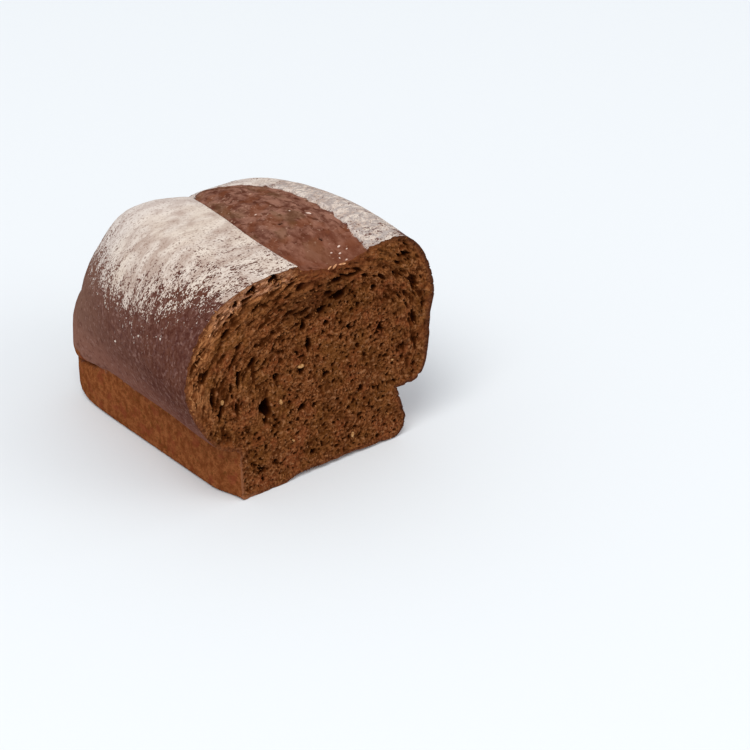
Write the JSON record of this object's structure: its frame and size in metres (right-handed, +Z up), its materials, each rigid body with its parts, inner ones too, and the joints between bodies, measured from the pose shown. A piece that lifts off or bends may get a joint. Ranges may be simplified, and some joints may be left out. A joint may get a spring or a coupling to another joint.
{
  "type": "tin loaf",
  "caption": "Cut half of a dark grain tin loaf, with a sliced face, a top that rose over the tin, an opened score and a flat base to stand on.",
  "frame": {"origin": "middle of the bounding box at the height of the flat base", "axes": "+X across the loaf to the right of the slice, +Y from the slice to the far end, +Z up"},
  "size_m": [0.1363, 0.1364, 0.1053],
  "materials": {
    "bread": "dry baked crust and open crumb, matt, dusted with flour on its shoulders"
  },
  "bodies": {
    "root": {"loaf": "bread"}
  },
  "joints": []
}
